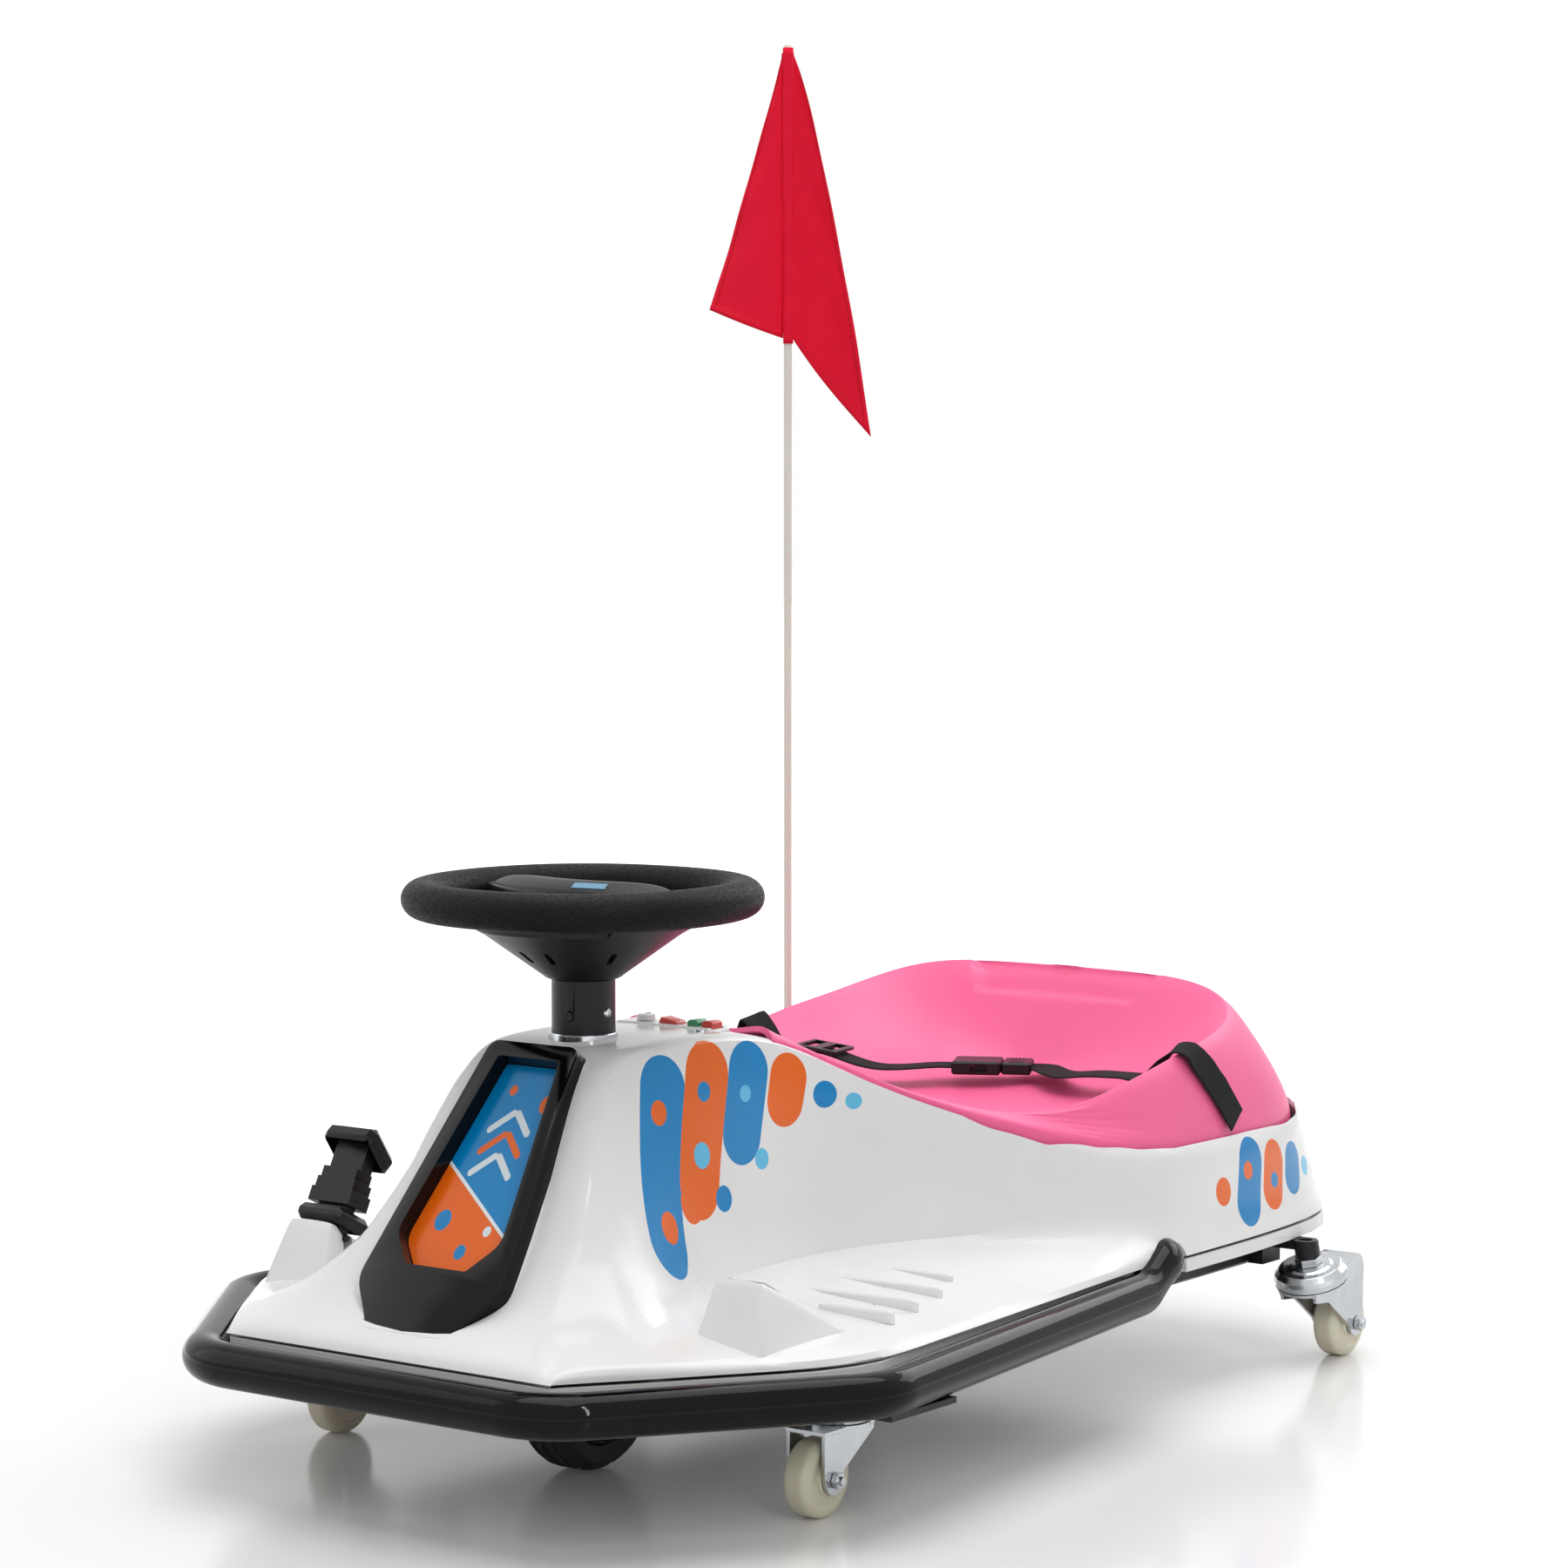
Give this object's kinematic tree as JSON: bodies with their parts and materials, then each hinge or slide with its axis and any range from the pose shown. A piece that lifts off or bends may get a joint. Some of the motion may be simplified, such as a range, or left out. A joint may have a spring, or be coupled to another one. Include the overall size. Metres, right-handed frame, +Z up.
{
  "type": "electric drift car",
  "caption": "Child's ride-on electric drift car with a steered drive wheel, casters, bucket seat, lap belt, bumper tube and a pennant on a rod.",
  "frame": {"origin": "middle of the bounding box, at the floor under the casters and the drive wheel", "axes": "+Z up, +X to the car's own left, -Y to the car's front"},
  "size_m": [0.552, 0.8938, 0.965],
  "materials": {
    "white_body": "glossy moulded white",
    "pink_seat": "satin moulded pink",
    "black_gloss": "gloss black",
    "insert": "printed insert, dark blue",
    "tube_paint": "gloss black powder coat",
    "frame_paint": "satin black powder coat",
    "zinc": "bright zinc plate",
    "nylon": "cream nylon",
    "black_matte": "matt black moulding",
    "grain_rim": "grained black skin",
    "black_case": "fine matt black",
    "green_button": "gloss green",
    "red_button": "gloss red",
    "fibreglass": "translucent white fibreglass",
    "red_cloth": "woven polyester",
    "webbing": "woven black webbing",
    "alloy": "cast alloy",
    "tyre_rubber": "black rubber"
  },
  "bodies": {
    "chassis": {"battery": "black_case", "belt_strap_left": "webbing", "belt_strap_right": "webbing", "body_shell": "white_body", "buckle_clip": "black_matte", "buckle_socket": "black_matte", "bumper_tube": "tube_paint", "column_bridge": "frame_paint", "column_ring": "zinc", "control_panel": "white_body", "flag_cloth": "red_cloth", "flag_rod": "fibreglass", "flag_socket": "black_matte", "foot_block_plug": "black_matte", "front_cross_member": "frame_paint", "front_left_caster_plate": "zinc", "front_right_caster_plate": "zinc", "left_frame_rail": "frame_paint", "middle_cross_member": "frame_paint", "motor_controller": "alloy", "nose_bezel": "black_gloss", "nose_panel": "insert", "pedal_collar": "black_matte", "rear_axle_beam": "frame_paint", "rear_left_caster_bearing_housing": "zinc", "rear_left_caster_kingpin": "zinc", "rear_right_caster_bearing_housing": "zinc", "rear_right_caster_kingpin": "zinc", "right_frame_rail": "frame_paint", "seat_shell": "pink_seat", "shaft_foot_bearing": "zinc", "tri_glide": "black_matte", "underbody_pan": "white_body"},
    "steering_column": {"drive_yoke": "frame_paint", "drive_axle": "zinc", "drive_gear_motor": "alloy", "steering_shaft": "zinc", "column_sleeve": "black_matte", "steering_hub": "black_matte", "steering_wheel_rim": "grain_rim", "hub_cover": "black_matte"},
    "drive_wheel": {"drive_tyre": "tyre_rubber", "drive_wheel_hub": "black_matte"},
    "front_left_caster_swivel": {"front_left_caster_fork": "zinc", "front_left_caster_axle": "zinc"},
    "front_left_caster_roller": {"front_left_caster_wheel": "nylon"},
    "front_right_caster_swivel": {"front_right_caster_fork": "zinc", "front_right_caster_axle": "zinc"},
    "front_right_caster_roller": {"front_right_caster_wheel": "nylon"},
    "rear_left_caster_swivel": {"rear_left_caster_fork": "zinc", "rear_left_caster_axle": "zinc"},
    "rear_left_caster_roller": {"rear_left_caster_wheel": "nylon"},
    "rear_right_caster_swivel": {"rear_right_caster_fork": "zinc", "rear_right_caster_axle": "zinc"},
    "rear_right_caster_roller": {"rear_right_caster_wheel": "nylon"},
    "pedal": {"accelerator_pedal": "black_matte"},
    "knob": {"speed_knob": "white_body"},
    "rocker": {"power_rocker": "red_button"},
    "button_green": {"green_button": "green_button"},
    "button_red": {"red_button": "red_button"}
  },
  "joints": [
    {"name": "steering_turn", "type": "hinge", "parent": "chassis", "child": "steering_column", "pos_m": [0, -0.22185, 0.2], "axis": [0, 0, 1], "continuous": true},
    {"name": "drive_wheel_spin", "type": "hinge", "parent": "steering_column", "child": "drive_wheel", "pos_m": [0, -0.22185, 0.05], "axis": [1, 0, 0], "continuous": true},
    {"name": "front_left_caster_swivel_turn", "type": "hinge", "parent": "chassis", "child": "front_left_caster_swivel", "pos_m": [0.198, -0.21545, 0.06], "axis": [0, 0, 1], "continuous": true},
    {"name": "front_left_caster_wheel_spin", "type": "hinge", "parent": "front_left_caster_swivel", "child": "front_left_caster_roller", "pos_m": [0.198, -0.23945, 0.025], "axis": [1, 0, 0], "continuous": true},
    {"name": "front_right_caster_swivel_turn", "type": "hinge", "parent": "chassis", "child": "front_right_caster_swivel", "pos_m": [-0.198, -0.21545, 0.06], "axis": [0, 0, 1], "continuous": true},
    {"name": "front_right_caster_wheel_spin", "type": "hinge", "parent": "front_right_caster_swivel", "child": "front_right_caster_roller", "pos_m": [-0.198, -0.23945, 0.025], "axis": [1, 0, 0], "continuous": true},
    {"name": "rear_left_caster_swivel_turn", "type": "hinge", "parent": "chassis", "child": "rear_left_caster_swivel", "pos_m": [0.218, 0.34015, 0.0657], "axis": [0, -0.309, 0.9511], "continuous": true},
    {"name": "rear_left_caster_wheel_spin", "type": "hinge", "parent": "rear_left_caster_swivel", "child": "rear_left_caster_roller", "pos_m": [0.218, 0.38177, 0.02497], "axis": [1, 0, 0], "continuous": true},
    {"name": "rear_right_caster_swivel_turn", "type": "hinge", "parent": "chassis", "child": "rear_right_caster_swivel", "pos_m": [-0.218, 0.34015, 0.0657], "axis": [0, -0.309, 0.9511], "continuous": true},
    {"name": "rear_right_caster_wheel_spin", "type": "hinge", "parent": "rear_right_caster_swivel", "child": "rear_right_caster_roller", "pos_m": [-0.218, 0.38177, 0.02497], "axis": [1, 0, 0], "continuous": true},
    {"name": "accelerator_press", "type": "hinge", "parent": "chassis", "child": "pedal", "pos_m": [-0.17625, -0.27391, 0.14007], "axis": [1, 0, 0], "range_deg": [0, 12], "stiffness_Nm_per_rad": 1.5, "springref_deg": -6.88},
    {"name": "speed_turn", "type": "hinge", "parent": "chassis", "child": "knob", "pos_m": [-0.0215, -0.12985, 0.2805], "axis": [0, 0, 1], "range_deg": [-135, 135]},
    {"name": "power_rock", "type": "hinge", "parent": "chassis", "child": "rocker", "pos_m": [0.001, -0.12985, 0.2785], "axis": [0, 1, 0], "range_deg": [-8, 8]},
    {"name": "green_press", "type": "slide", "parent": "chassis", "child": "button_green", "axis": [0, 0, -1], "range_m": [0, 0.002], "stiffness_N_per_m": 300, "springref_m": -0.001},
    {"name": "red_press", "type": "slide", "parent": "chassis", "child": "button_red", "axis": [0, 0, -1], "range_m": [0, 0.002], "stiffness_N_per_m": 300, "springref_m": -0.001}
  ]
}
